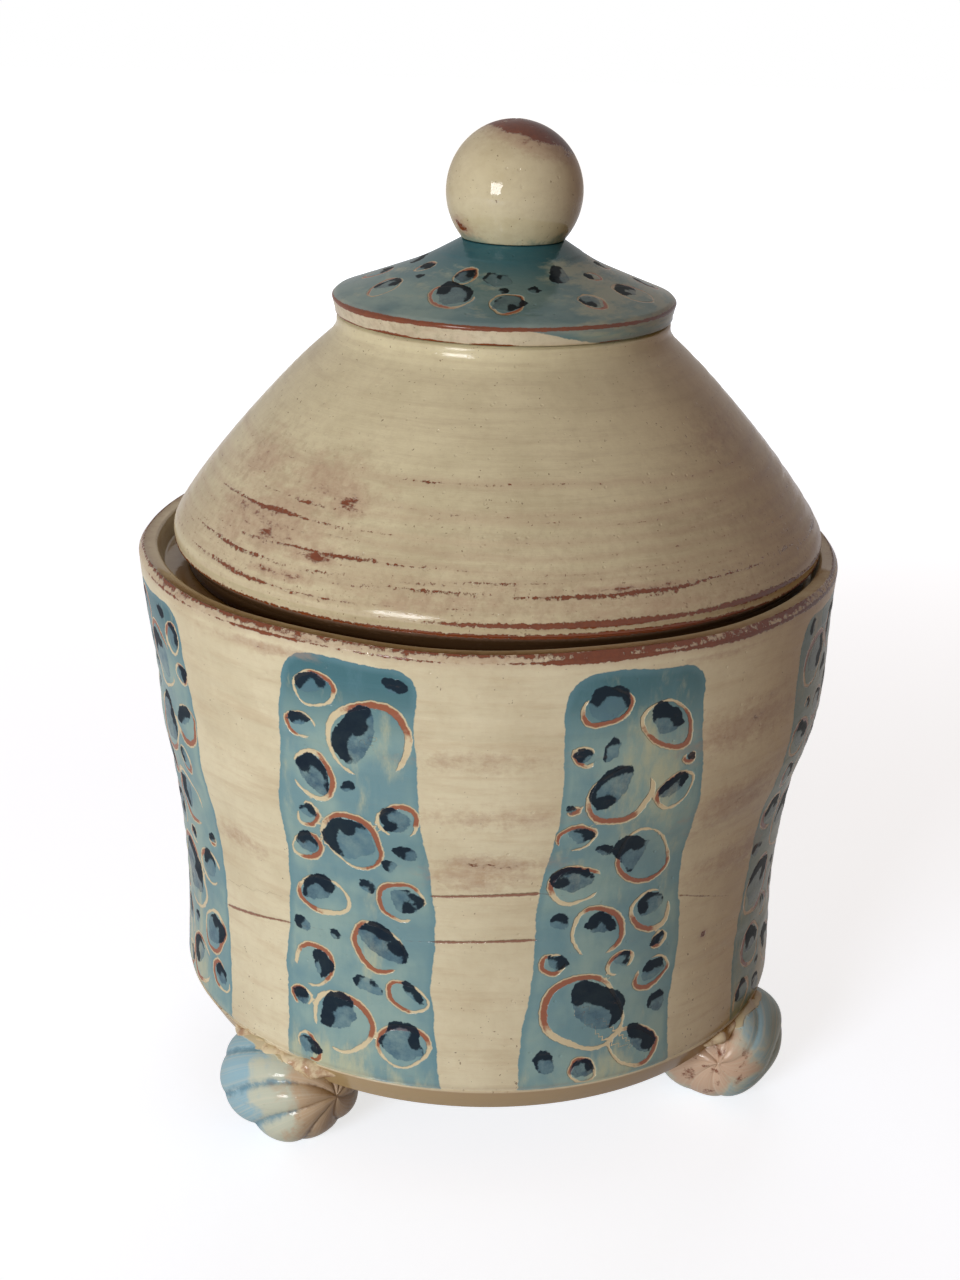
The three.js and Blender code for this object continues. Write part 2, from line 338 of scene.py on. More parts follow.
# A glossy clear glaze over the painted slip. heights is a list of (socket, millimetres): each lifts
# the surface by that much, and the glaze has its own slow waves and pinholes. Where the colour is
# laid on thick, the dry mask, it takes up most of the glaze and stays dark.
def glazeOver(tree, colour, place, heights, roughness=0.42, coatRoughness=0.05, dry=0.0):
    peel = noise(tree, place, 3.2, 3, 0.55)
    pit = addNode(tree, "TexVoronoi", {"Vector": place, "Scale": perSize(4.5)}, feature="F1")
    pinholes = eased(tree, pit.outputs["Distance"], 0.05, 0.11, 0.0, -0.08)
    total = maths(tree, "MULTIPLY_ADD", peel, 0.06, pinholes)
    for socket, amount in heights:
        total = maths(tree, "MULTIPLY_ADD", socket, amount, total)
    bump = addNode(tree, "Bump", {"Height": total, "Strength": 1.0, "Distance": 1 / metre})
    coat = straight(tree, dry, 0, 1, 0.09, 0.33)
    shader = addNode(tree, "BsdfPrincipled", {
        "Base Color": colour, "Roughness": roughness, "Specular IOR Level": 0.0, "Coat Weight": coat,
        "Coat Roughness": coatRoughness, "Coat IOR": 1.8, "Normal": bump, "Coat Normal": bump,
    })
    addNode(tree, "OutputMaterial", {"Surface": shader})


# Jar wall

def inMillimetres(box):
    return [np.array(corner) * metre for corner in box]


jarBox = inMillimetres(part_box("jar_body"))
crestLevel = jarBox[1][2]
rimRadius = jarBox[1][0]
baseLevel = jarBox[0][2]
rimLevel = crestLevel - 2.0             # the rim's outer edge
bevelRise, bevelWidth = 8.6, 5.2        # the bevel from the base up to the wall's foot
wallFootLevel = baseLevel + bevelRise
wallFootRadius = 89.2

jarShape = {
    "wall": [(wallFootRadius, 0.0), (89.0, 34.0), (92.1, 64.0), (96.3, 84.0), (rimRadius, 128.0)],
    "baseRadius": 84.0,
    "wallThickness": 6.5,
    "crestInset": 1.5,          # from the rim's outer edge in to the crest
    "lip": (94.8, 0.35),        # inner edge of the lip, and its fall from the crest
    "gallery": (93.0, 6.0),     # foot of the gallery's wall, and its depth under the crest
    "throat": (83.5, 5.0),      # inner edge of the ledge, and the ledge's thickness
    "innerSpan": (7.0, 9.0),    # the inner wall starts above the floor and ends under the ledge
    "floorLevel": baseLevel + 8.0,
    "columns": 528,
    "spacing": 1.12,            # between the wall's rows of points
    "plainSpacing": 12.0,       # the same inside and under the base
    "sway": 1.3,                # the shoulder stands this far to the right of the foot
    "swayAt": (122.0, 16.0),    # the sway's height and spread
    "ovalness": 0.35,
    "ridge": 0.13,              # depth of the throwing rings
    "rimRipple": 0.3,
}

jarLook = {
    "light": "#dfdabf", "deep": "#d3ccb0", "streak": "#b59b79", "streakShow": 0.3, "streakSquash": 9,
    "grainShow": 0.1, "brushSquash": (1, 1, 0.35), "blue": "#7098a4", "blueLight": "#8eaead",
    "teal": "#3f7280", "tealFrom": rimLevel - 22, "tealTo": rimLevel - 3, "combed": "#5d8c9d",
    "thin": "#bcc3a6", "thinShow": 0.85, "cut": "#dccfac", "dab": "#224a66", "dabPale": "#5c879b",
    "dark": "#071628", "mark": "#7d3f2c", "underside": "#b49e76",
}

bands = {
    "centres": [-65.5, -21.0, 22.8, 69.0, 113.0, 158.5, 204.0, 250.0],  # degrees round from the front
    "halfWidth": 22.6,          # at the wall's foot
    "halfWidthTop": 18.7,
    "cornerRadius": 7.5,
    "topGap": [4.5, 3.0, 4.0, 3.5, 5.0, 4.5, 3.5, 5.0],     # from the rim's edge line down to the band
    "spotSizes": [12.4, 10.0, 9.4, 8.8, 8.6, 8.2, 7.8, 7.4, 7.0, 6.6, 6.4, 6.0, 5.6, 5.2, 4.8,
                  4.4, 4.2, 4.0, 3.8, 3.5, 3.3, 3.0, 2.8, 2.6, 2.4],
}

# Rubbed places on the wall: degrees round, mm above the wall's foot, spread in degrees, mm, and share
wallRubs = [
    (2, 70, 9, 3.0, 0.56), (-1, 66, 9, 5.0, 0.47), (45, 79, 11, 7.0, 0.5), (50, 58, 13, 5.0, 0.42),
    (-46, 62, 7, 3.0, 0.4), (0, 100, 16, 3.0, 0.3), (2, 84, 14, 3.0, 0.36), (44, 102, 14, 7.0, 0.46),
    (-34, 124, 12, 1.6, 0.5), (38, 124.5, 9, 1.2, 0.46), (88, 70, 14, 5.0, 0.4), (140, 90, 12, 6.0, 0.38),
    (182, 60, 16, 4.0, 0.4), (226, 84, 12, 5.0, 0.42), (-88, 96, 12, 5.0, 0.34),
]

# Two marks that a tool left round the body: degrees round, mm above the wall's foot, half width in
# mm. Where the half width falls below zero a mark fades out.
toolMarks = [
    [(-150, 57, 0.2), (-100, 58, -0.4), (-32, 58.5, -0.4), (-20, 59, 0.0), (-6, 59.5, 0.36), (10, 61.2, 0.36),
     (24, 57.5, 0.2), (38, 51.8, 0.2), (54, 42.8, 0.0), (66, 40, -0.4), (100, 52, -0.4), (140, 56, 0.25)],
    [(-130, 33, 0.2), (-75, 30, -0.2), (-50, 37, 0.42), (-36, 41.2, 0.34), (-23, 43.2, 0.2), (-6, 45.3, 0.4),
     (8, 46.5, 0.42), (17, 46.5, -0.4), (100, 40, -0.4), (150, 38, 0.25)],
]
glazePit = (44, 36.3, 1.1)      # where the glaze crawled off: degrees round, mm above the foot, radius


def rubbedPlaces(azimuth, above, places, seed):
    share = np.zeros(np.broadcast_shapes(azimuth.shape, above.shape))
    for k, (where, level, spread, tall, amount) in enumerate(places):
        centre = level + 0.25 * tall * wander(azimuth, 0, seed + k, 9)
        share = np.maximum(share, amount * humpRound(azimuth, where, spread) * hump(above - centre, tall))
    return share


# The jar's whole outline, and the rows between which it is the wall
def jarProfile():
    s = jarShape
    wall = throughStations([(r, h + wallFootLevel) for r, h in s["wall"]])
    base = [(3.0, baseLevel), (s["baseRadius"], baseLevel, 1.4), (*wall[0], 0.9)]
    outside = outline(base, s["plainSpacing"])
    crest = (rimRadius - s["crestInset"], crestLevel, 0.5)
    rows = evenly(wall, s["spacing"])
    upTheWall = outline([*rows[1:-1], (rimRadius, rimLevel, 0.5), crest], 2 * s["spacing"])
    ledge = crestLevel - s["gallery"][1]
    under = ledge - s["throat"][1]
    inner = innerFace(wall, s["wallThickness"])
    low, high = s["floorLevel"] + s["innerSpan"][0], under - s["innerSpan"][1]
    inner = inner[(inner[:, 1] < high) & (inner[:, 1] > low)][::-6]
    inside = outline([
        crest, (s["lip"][0], crestLevel - s["lip"][1], 0.8), (s["gallery"][0], ledge, 0.6),
        (s["throat"][0], ledge, 0.8), (s["throat"][0], under, 1.2), *inner,
        (inner[-1][0], s["floorLevel"], 7.0), (4.0, s["floorLevel"]),
    ], s["plainSpacing"])[5:]
    return np.vstack([outside, upTheWall[:-1], inside]), len(outside), len(outside) + len(upTheWall) - 1


# How the thrower's hands left the wall: a sway of the shoulder, a slight oval, rings a few mm apart
# and a rim whose height ripples
def thrown(radius, height, azimuth, outer):
    s = jarShape
    rimFade = 1 - soften(rimLevel - 12, rimLevel - 2, height)
    wallShare = soften(wallFootLevel - 3, wallFootLevel + 12, height) * rimFade
    oval = -s["ovalness"] * (1 + np.cos(2 * azimuth + 0.7)) / 2 * soften(wallFootLevel, rimLevel, height)
    rings = throwingRings(azimuth, height, (7.4, 3.3), (45, 30), 0.6, 11)
    slow = 0.25 * wander(azimuth, height, 13, 4, 70)
    radius = radius + oval + wallShare * (slow + outer * s["ridge"] * rings)
    ripple = s["rimRipple"] * wander(azimuth, 0, 14, 9) * soften(rimLevel - 10, rimLevel, height)
    points = carriedRound(radius, height + ripple, azimuth)
    points[..., 0] += s["sway"] * hump(height - s["swayAt"][0], s["swayAt"][1])
    return points


# How deep each point lies inside a band, in mm: a tall box with round upper corners whose sides waver
def bandDepth(azimuth, radius, height, k):
    across = turnsApart(azimuth, math.radians(bands["centres"][k])) * radius
    across = across + 1.2 * wander(0, height, 40 + k, 1, 50) + 0.2 * wander(0, height, 50 + k, 1, 9)
    share = (height - wallFootLevel) / (rimLevel - wallFootLevel)
    half = bands["halfWidth"] + (bands["halfWidthTop"] - bands["halfWidth"]) * share
    half = half + 0.8 * wander(np.sign(across), height, 60 + k, 1, 26)
    top = rimLevel - bands["topGap"][k] + 0.5 * wander(across / 9, 0, 80 + k, 2)
    r = bands["cornerRadius"]
    x = np.abs(across) - (half - r)
    y = height - (top - r)
    return r - np.minimum(np.maximum(x, y), 0) - np.hypot(np.maximum(x, 0), np.maximum(y, 0))


# Spots are thrown one after the other, the largest first, each to the first free place of many tries
def strewn(rng, sizes, propose, air=0.7, tries=900):
    placed = []
    for size in sizes:
        for _ in range(tries):
            spot = np.array(propose(rng, size))
            if all(np.hypot(*(spot - other)) > 0.93 * (size + reach) + air for other, reach in placed):
                placed.append((spot, size))
                break
    return placed


# One spot, in its own x and y in mm. The ring is a wobbling oval whose line is thick on one side and
# may break, scratched to cream slip and in part to red clay. The dab is a wide oval stroke, often
# fuller above than below, and the loaded brush left it darker in a crescent on one side.
def paintSpot(fields, rng, x, y, near, size, weight):
    turn = rng.uniform(-0.9, 0.9)
    wide = size * rng.uniform(0.95, 1.05)
    tall = size * rng.uniform(0.74, 0.95)
    along = x * np.cos(turn) + y * np.sin(turn)
    aside = y * np.cos(turn) - x * np.sin(turn)

    def oval(centre, halves, bends, tilt=0.0):
        u = (along - centre[0]) * np.cos(tilt) + (aside - centre[1]) * np.sin(tilt)
        v = (aside - centre[1]) * np.cos(tilt) - (along - centre[0]) * np.sin(tilt)
        reach = np.hypot(u / halves[0], v / halves[1])
        angle = np.arctan2(v / halves[1], u / halves[0])
        edge = 1 + sum(a * np.cos(n * angle + p) for n, a, p in bends)
        return (reach - edge) / np.maximum(reach, 0.08) * np.hypot(u, v), angle

    def bent(amount):
        return [(n, amount * rng.uniform(0.4, 1) / n, rng.uniform(0, fullTurn)) for n in (2, 3, 5)]

    # Some small spots are a dab with no ring
    lone = size < 4.3 and rng.uniform() < 0.55
    edge, angle = oval((0, 0), (wide - 0.8, tall - 0.8), bent(0.17))
    thick = rng.uniform(0, fullTurn)
    half = weight * (0.46 + 0.026 * size) * (1 + 0.45 * np.cos(angle - thick)) * rng.uniform(0.85, 1.1)
    gap = soften(0.8, 1.0, np.cos(angle - thick - rng.uniform(2.2, 4.1)))
    half = half - 1.1 * gap * (rng.uniform() < 0.4)
    rust = 1.6 * (np.cos(angle - thick - rng.uniform(-0.6, 0.6)) - 1 + rng.uniform(0.35, 1.5))
    if not lone:
        better = near & (half - np.abs(edge) > fields["ringHalf"] - np.abs(fields["ring"]))
        for name, values in (("ring", edge), ("ringHalf", half), ("rust", rust)):
            fields[name][better] = values[better]

    away = np.pi / 2 - turn + rng.uniform(-1.3, 1.3)
    heading = np.array([np.cos(away), np.sin(away)])
    centre = rng.uniform(0.1, 0.24) * size * heading
    span = rng.uniform(0.66, 0.84) if not lone else 0.95
    halves = (span * wide, span * tall * rng.uniform(0.8, 1.0))
    tilt = rng.uniform(-0.4, 0.4)
    stroke, _ = oval(centre, halves, bent(0.28), tilt)
    belly = 1.15 * size
    rise = belly - rng.uniform(-0.05, 0.45) * size
    cut = np.hypot(along - heading[0] * rise, aside - heading[1] * rise) - belly
    ripple = np.sin(2.2 * (heading[1] * along - heading[0] * aside) / size + rng.uniform(0, 6))
    cut = cut + 0.06 * size * ripple
    stroke = np.where(rng.uniform() < 0.55, np.maximum(stroke, cut), stroke)
    better = near & (-stroke > fields["dab"])
    fields["dab"][better] = -stroke[better]
    fields["toneShare"][near & (stroke < 1.0)] = rng.uniform(0.3, 1.0)
    pull = rng.uniform(0.22, 0.5) if size > 4 else 0.8
    shifted, _ = oval(centre - pull * size * heading, (halves[0] * 0.98, halves[1] * 0.98), bent(0.3), tilt)
    side = away + rng.choice([-1, 1]) * rng.uniform(1.0, 1.7)
    blobCentre = centre + 0.6 * np.array([halves[0] * np.cos(side), halves[1] * np.sin(side)])
    blob, _ = oval(blobCentre, (0.3 * size, 0.26 * size), bent(0.3))
    crescent = np.maximum(shifted, -blob)
    fields["dark"][better] = np.maximum(fields["dark"], np.minimum(0.35 - stroke, crescent))[better]


# What the spots' fields say where nothing is painted
noSpots = {"ring": farAcross, "ringHalf": 0.0, "rust": -1.0, "dab": wellOutside, "dark": wellOutside,
           "toneShare": 0.0}


def unpainted(shape, **others):
    return {name: np.full(shape, value) for name, value in {**noSpots, **others}.items()}


def paintSpots(fields, azimuth, radius, along, spots, seed, weight=1.0):
    rng = np.random.default_rng(seed)
    for spotAzimuth, spotAlong, size in spots:
        x = turnsApart(azimuth, spotAzimuth) * radius
        y = along - spotAlong + 0 * x
        near = (np.abs(x) < size * 1.8 + 3) & (np.abs(y) < size * 1.8 + 3)
        rows = near.any(axis=1)
        part = {name: values[rows] for name, values in fields.items()}
        paintSpot(part, rng, x[rows], y[rows], near[rows], size, weight)
        for name in fields:
            fields[name][rows] = part[name]


# The spots of one band: azimuth, height and size
def bandSpots(k, wallRadius, wallHeight):
    top = rimLevel - bands["topGap"][k]

    def propose(rng, size):
        height = rng.uniform(wallFootLevel + 0.8 * size, top - size - 1)
        half = np.interp(height, [wallFootLevel, rimLevel], [bands["halfWidth"], bands["halfWidthTop"]])
        return rng.uniform(-1, 1) * (half - 0.95 * size - 1.0), height

    centre = math.radians(bands["centres"][k])
    spots = strewn(np.random.default_rng(700 + k), bands["spotSizes"], propose)
    return [(centre + across / np.interp(height, wallHeight[:, 0], wallRadius[:, 0]), height, size)
            for (across, height), size in spots]


# The place across the nearer tool mark and its half width. The sign turns from one mark to the
# next, so that the place runs on smoothly between them.
def toolMarkPlaces(azimuth, above):
    scratch, scratchHalf = np.full(above.shape, farAcross), 0.0
    turn = np.degrees(azimuth)
    for k, marks in enumerate(toolMarks):
        degrees, levels, halves = np.array(marks).T
        line = np.interp(turn, degrees, levels, period=360) + 0.25 * wander(azimuth, 0, 26 + k, 16)
        half = np.interp(turn, degrees, halves, period=360) + 0.1 * wander(azimuth, 0, 30 + k, 24)
        across = (above - line) * (-1) ** k
        nearer = np.abs(across) < np.abs(scratch)
        scratch = np.where(nearer, across, scratch)
        scratchHalf = np.where(nearer, half, scratchHalf)
    return scratch, scratchHalf


# Slip breaks to red in two lines, on the rim's crest and on its outer edge. Both are thin and broken
# on the left and heavy from the front to the right. A third runs round the wall's foot.
def jarWearLines(azimuth, radius, height):
    heavy = soften(-0.25, 0.5, np.sin(azimuth + 0.1))
    crest = (0.26 + 0.1 * heavy + 0.16 * wander(azimuth, 0, 31, 17)
             - np.hypot(radius - rimRadius + 1.2, height - crestLevel + 0.3))
    edge = (0.1 + 0.45 * heavy + 0.38 * wander(azimuth, 0, 32, 15)
            - np.hypot(radius - rimRadius, (height - rimLevel + 0.1) * 0.9))
    foot = 0.05 + 0.3 * wander(azimuth, 0, 36, 12) - np.hypot(radius - wallFootRadius, height - wallFootLevel)
    return np.maximum(np.maximum(crest, edge), foot)


def jarWall():
    profile, wallStart, wallEnd = jarProfile()
    radius, height = profile[:, :1], profile[:, 1:]
    azimuth = allRound(jarShape["columns"])
    outer = np.zeros_like(radius)
    outer[:wallEnd] = 1
    rings = thrown(radius, height, azimuth, outer)

    shape = (len(radius), azimuth.shape[1])
    fields = unpainted(shape, band=wellOutside, wear=wellOutside, scratch=farAcross, scratchHalf=0.0)
    wall = slice(wallStart - 1, wallEnd)
    wallRadius, wallHeight = radius[wall], height[wall]
    above = wallHeight - wallFootLevel
    onWall = {name: fields[name][wall] for name in noSpots}
    for k in range(len(bands["centres"])):
        depth = bandDepth(azimuth, wallRadius, wallHeight, k)
        fields["band"][wall] = np.maximum(fields["band"][wall], depth)
        spots = bandSpots(k, wallRadius, wallHeight)
        paintSpots(onWall, azimuth, wallRadius, wallHeight, spots, 900 + k)

    # The tool marks hardly show under the bands' slip
    scratch, scratchHalf = toolMarkPlaces(azimuth, above)
    fields["scratch"][wall] = scratch
    fields["scratchHalf"][wall] = scratchHalf - 0.45 * (fields["band"][wall] > 0)

    fields["wear"] = np.maximum(fields["wear"], jarWearLines(azimuth, radius, height))
    where, level, pitRadius = glazePit
    pit = pitRadius - np.hypot(turnsApart(azimuth, math.radians(where)) * wallRadius, above - level)
    fields["wear"][wall] = np.maximum(fields["wear"][wall], pit)
    fields["rubShare"] = np.zeros(shape)
    fields["rubShare"][wall] = rubbedPlaces(azimuth, above, wallRubs, 140)
    strip = (np.abs(radius - rimRadius + 0.75) < 1.2) & (height > rimLevel - 0.2) & (height < crestLevel + 1)
    fields["rubShare"] = np.where(strip, 0.36 + 0.17 * wander(azimuth, 0, 33, 13), fields["rubShare"])
    fields["underShare"] = (1 - soften(wallFootLevel - 0.8, wallFootLevel - 0.1, height)) * (outer > 0)
    fields["speckShare"] = 0.1 + 0.25 * soften(60, 0, height - wallFootLevel) * np.ones(shape)
    thinLow = 0.75 * soften(24, 2, height - wallFootLevel)
    fields["thinShare"] = thinLow + 0.35 * wander(azimuth, height, 37, 4, 70)

    jar = ringMesh("jar_glazed_wall", rings, (0, 0, baseLevel), (0, 0, jarShape["floorLevel"]), fields)
    material, tree = newMaterial("slipped earthenware, banded and clear glazed")
    ground, streak, place = slipGround(tree, jarLook)
    painted, ringMask, dabMask, darkMask = paintedOver(tree, ground, place, jarLook)
    scratched = depthInLine(tree, field(tree, "scratch"), field(tree, "scratchHalf"))
    frayed = maths(tree, "MULTIPLY_ADD", noise(tree, place, 1.4, 3, 0.6), 0.8, scratched)
    mark = eased(tree, frayed, 0.2, 0.65, 0.85)
    marked = blend(tree, mark, painted, jarLook["mark"])
    bevelled = blend(tree, field(tree, "underShare"), marked, jarLook["underside"])
    worn, bareMask = wornThrough(tree, bevelled, place)
    heights = [(ringMask, -0.16), (dabMask, 0.05), (streak, 0.22), (mark, -0.25), (bareMask, -0.14)]
    glazeOver(tree, worn, place, heights, dry=darkMask)
    jar.data.materials.append(material)
    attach(jar, "jar")
    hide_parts("jar_body")


# Feet

# For each: degrees round, the way its ribs' hub looks (along the rim to the right, inwards, up), how
# far from the hub its inner slip reaches and its blue slip starts, as shares of the way round, how
# much nearer the blue comes on the outer side, the depth of its creases in mm, how many degrees it
# leans, its inner slip, how much iron stains it, the luting's two ends in degrees and its size, a seed
feet = {
    "foot_front_left": {
        "angle": -40.2, "hub": (0.93, -0.05, 0.3), "innerTo": 0.25, "blueFrom": 0.41, "slipLean": 0.0,
        "crease": 1.9, "tilt": 10.0, "inner": "#c4ad90", "iron": 0.3, "luting": (-12.0, 15.0, 1.0), "seed": 5,
    },
    "foot_right": {
        "angle": 65.0, "hub": (-0.93, -0.3, 0.1), "innerTo": 0.27, "blueFrom": 0.3, "slipLean": 0.16,
        "crease": 1.2, "tilt": 4.0, "inner": "#ceb29b", "iron": 1.0, "luting": (-17.0, -5.0, 0.6), "seed": 6,
    },
    "foot_back": {
        "angle": 192.0, "hub": (0.93, -0.36, 0.05), "innerTo": 0.26, "blueFrom": 0.42, "slipLean": 0.0,
        "crease": 1.8, "tilt": 10.0, "inner": "#c4ad90", "iron": 0.5, "luting": (-12.0, 15.0, 1.0), "seed": 7,
    },
}
footShape = {
    "centreRadius": 80.5, "length": 38.2, "depth": 36.0, "height": 31.0, "squareness": 2.7, "ribs": 8,
    "ribPower": 0.6, "taper": 0.2, "twist": 30.0, "wear": 1.0, "rows": 110, "columns": 200,
    "levels": (0.02, 31.5),     # nothing of it is lower or higher
    "overlap": 1.2,             # how far it goes into the jar's bevel
}
# The crease blue and crease brown darken the creases: partly glaze pooled there, partly painted shade of the
# creases
footLook = {
    "pale": "#c4cdbe", "blue": "#94bccf", "combed": "#dbd8c6", "creasePoolAndShadeBlue": "#5f8ba2",
    "creasePoolAndShadeBrown": "#5f4029", "iron": "#7a452b", "smear": "#cfc19c", "roll": "#dccfae", "rollDark": "#b08f72",
}
lutingShape = {"radius": 86.4, "level": 6.3, "half": 2.7, "rows": 121, "columns": 32}    # level over the base


# A squarish bun: in each direction from its middle it reaches as far as a superellipsoid does, and
# eight ribs swell as a power of |sin| between creases that fan out from a hub and twist on their way
def clayFoot(name):
    foot, s = feet[name], footShape
    seed = foot["seed"]
    hub = np.array(foot["hub"]) / np.linalg.norm(foot["hub"])
    side = np.cross(hub, (0, 0, 1.0))
    side /= np.linalg.norm(side)
    across = np.cross(side, hub)
    polar = (np.pi * np.arange(1, s["rows"]) / s["rows"])[:, None]
    around = allRound(s["columns"])
    way = (np.cos(polar)[..., None] * hub + (np.sin(polar) * np.cos(around))[..., None] * side
           + (np.sin(polar) * np.sin(around))[..., None] * across)
    halves = np.array([s["length"], s["depth"], s["height"]]) / 2

    def reach(way):
        return (np.abs(way / halves) ** s["squareness"]).sum(axis=-1) ** (-1 / s["squareness"])

    down = polar * 20
    turn = (around + math.radians(s["twist"]) * (polar - np.pi / 2) + 0.3 * np.sin(around + seed)
            + 0.12 * wander(around, down, seed, 3, 40))
    swell = np.abs(np.sin(s["ribs"] / 2 * turn)) ** s["ribPower"]
    lump = 1 + 0.03 * wander(around, down, seed + 20, 3, 30)
    deeper = 1.0 - 0.55 * polar / np.pi + 0.3 * wander(around, down, seed + 40, 4, 40)
    crease = foot["crease"] * (1 - swell) * np.sin(polar) ** 0.6 * deeper
    points = way * (reach(way) * lump - crease)[..., None]
    points[..., :2] *= 1 - s["taper"] * np.clip(-points[..., 2:] / halves[2], 0, 1) ** 2
    ends = [hub * reach(hub), -hub * reach(-hub)]

    tilt, a = math.radians(foot["tilt"]), math.radians(foot["angle"])

    def placed(points):
        points = np.asarray(points)
        x = points[..., 0] * math.cos(tilt) + points[..., 2] * math.sin(tilt)
        z = points[..., 2] * math.cos(tilt) - points[..., 0] * math.sin(tilt) + s["height"] / 2 - s["wear"]
        y = points[..., 1] - s["centreRadius"]
        return np.stack([x, y, z], -1)

    def turned(points):
        x, y, z = points[..., 0], points[..., 1], points[..., 2]
        return np.stack([x * math.cos(a) - y * math.sin(a), x * math.sin(a) + y * math.cos(a), z], -1)

    points = placed(points)
    outward, level = np.hypot(points[..., 0], points[..., 1]), points[..., 2]
    bevel = np.clip((outward - jarShape["baseRadius"]) / bevelWidth, 0, 1) * bevelRise
    ceiling = baseLevel + bevel + s["overlap"]
    pressed = (outward < wallFootRadius + 0.6) & (level > ceiling)
    points[..., 2] = np.clip(np.where(pressed, ceiling, level), *s["levels"])
    away = polar / np.pi - foot["slipLean"] * way[..., 1]
    cornerOff = np.hypot(outward - wallFootRadius - 0.3, points[..., 2] - wallFootLevel)
    fields = {
        # how deep in a crease a point lies, for the pooled glaze and the painted crease shade
        "creasePoolAndShadeShare": (1 - swell) * np.sin(polar) ** 0.5 * min(foot["crease"] / 2, 1.0),
        "outerShare": away - foot["blueFrom"],
        "innerShare": foot["innerTo"] - away,
        "fan": turn * 10,
        "contact": np.clip(4.0 - cornerOff, -4, 4),
        "slipShare": 0.0,
    }
    first, last = (turned(placed(end)) for end in ends)
    return ringMesh(name + "_twisted", turned(points), first, last, fields)


# Pale blue slip away from the hub, greenish white next, cream with a pink blush towards it, and darker blue
# to iron-brown in the creases, partly glaze pooled there and partly painted crease shade, all under a thick
# and slightly pearly glaze
def footGlaze(foot):
    look = footLook
    material, tree = newMaterial("twisted earthenware foot, poured slips and thick clear glaze")
    place = addNode(tree, "TexCoord").outputs["Object"]
    cloud = noise(tree, place, 10, 4, 0.6, Distortion=0.5)
    fine = noise(tree, place, 2.6, 5, 0.65)
    rust = noise(tree, place, 4.5, 5, 0.65)
    alongFan = {"W": field(tree, "fan"), "Scale": 1.1, "Detail": 3.0, "Roughness": 0.6}
    combs = addNode(tree, "TexNoise", alongFan, noise_dimensions="1D")
    drift = straight(tree, cloud, 0.25, 0.75, 0.12, -0.12)
    toBlue = eased(tree, maths(tree, "ADD", field(tree, "outerShare"), drift), -0.05, 0.08)
    toInner = eased(tree, maths(tree, "SUBTRACT", field(tree, "innerShare"), drift), -0.05, 0.07)
    pale = blend(tree, toBlue, look["pale"], look["blue"])
    blushed = blend(tree, toInner, pale, foot["inner"])
    combed = blend(tree, eased(tree, combs, 0.45, 0.7, 0.3), blushed, look["combed"])
    # Darker in the creases: partly glaze pooled there, partly painted shade of the creases
    pooled = maths(tree, "MULTIPLY", field(tree, "creasePoolAndShadeShare"), fine)
    creasePoolAndShadeTone = blend(tree, toInner, look["creasePoolAndShadeBlue"], look["creasePoolAndShadeBrown"])
    pooledAndShadedCreases = blend(tree, eased(tree, pooled, 0.14, 0.42, 0.8), combed, creasePoolAndShadeTone)
    rusty = maths(tree, "MULTIPLY", eased(tree, rust, 0.55, 0.68, foot["iron"]), toInner)
    stained = blend(tree, rusty, pooledAndShadedCreases, look["iron"])
    torn = maths(tree, "MULTIPLY_ADD", cloud, 7.0, field(tree, "contact"))
    smear = eased(tree, torn, 5.2, 5.7, 0.92)
    smeared = blend(tree, smear, stained, look["smear"])
    roll = blend(tree, eased(tree, rust, 0.42, 0.66), look["roll"], look["rollDark"])
    final = blend(tree, field(tree, "slipShare"), smeared, roll)
    heights = [(fine, 0.08), (smear, 0.25), (combs, 0.06)]
    glazeOver(tree, final, place, heights, roughness=0.3, coatRoughness=0.04)
    return material


# A smeared roll of wet clay where each foot was pressed on, lying in the corner under the wall's edge
def luting(name, material):
    foot, s = feet[name], lutingShape
    seed = foot["seed"]
    first, last, size = foot["luting"]
    along = np.linspace(-1, 1, s["rows"])[:, None]
    around = allRound(s["columns"])
    azimuth = np.radians(foot["angle"] + (first + last) / 2 + (last - first) / 2 * along)
    taper = np.sqrt(np.clip(1 - along**2, 0.0, 1)) + 0.02
    lumps = (last - first) / 9 * along
    fineLumps = wander(lumps * 4 / 3, around * 3, seed + 61, 5, 8)
    thick = size * (1 + 0.32 * wander(lumps, 0, seed + 60, 5) + 0.16 * fineLumps)
    radius = s["radius"] + 2.2 * taper + s["half"] * thick * taper * np.cos(around)
    middle = baseLevel + s["level"] - 0.7 * taper + 0.8 * wander(along * 2, 0, seed + 62, 3) * taper
    height = middle + (s["half"] - 0.1) * thick * taper * np.sin(around)
    points = np.stack([radius * np.sin(azimuth), -radius * np.cos(azimuth), height], -1)
    ends = [points[k].mean(axis=0) for k in (0, -1)]
    fields = {"creasePoolAndShadeShare": 0.0, "outerShare": -0.05, "innerShare": 0.0, "fan": 0.0, "contact": 0.0,
              "slipShare": 1.0}
    roll = ringMesh(name + "_luting", points[::-1], ends[1], ends[0], fields)
    roll.data.materials.append(material)
    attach(roll, "jar")


def jarFeet():
    for name, look in feet.items():
        material = footGlaze(look)
        foot = clayFoot(name)
        foot.data.materials.append(material)
        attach(foot, "jar")
        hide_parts(name)
        luting(name, material)


# Lid

domeBox = inMillimetres(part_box("lid_dome"))
capBox = inMillimetres(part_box("lid_cap"))
knobBox = inMillimetres(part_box("lid_knob"))
lidShift = (domeBox[0][0] + domeBox[1][0]) / 2
lidEdgeLevel = crestLevel + 1.2
lidEdgeRadius = (domeBox[1][0] - domeBox[0][0]) / 2

